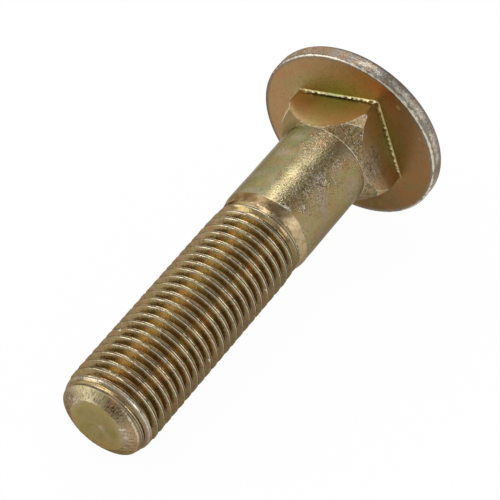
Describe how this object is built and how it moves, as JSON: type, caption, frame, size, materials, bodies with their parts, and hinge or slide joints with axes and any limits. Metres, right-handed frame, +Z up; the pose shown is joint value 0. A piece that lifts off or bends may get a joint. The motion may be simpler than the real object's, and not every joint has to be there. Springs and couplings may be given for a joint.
{
  "type": "carriage bolt",
  "caption": "Carriage bolt with a low domed round head, a square neck with cut-back corners, a plain shank and a rolled thread with a chamfered end, for clamping timber or sheet.",
  "frame": {"origin": "centre of the bottom of the box round the bolt as it lies, on the surface that it lies on", "axes": "+Z up; +X along the lying bolt, from its end to its head; the axis dips about 7 degrees towards the end"},
  "size_m": [0.0566, 0.023, 0.0231],
  "materials": {
    "yellow_zinc": "steel with yellow passivated zinc plating, satin, speckled, worn to silver on its edges"
  },
  "bodies": {
    "root": {"carriage_bolt": "yellow_zinc"}
  },
  "joints": []
}
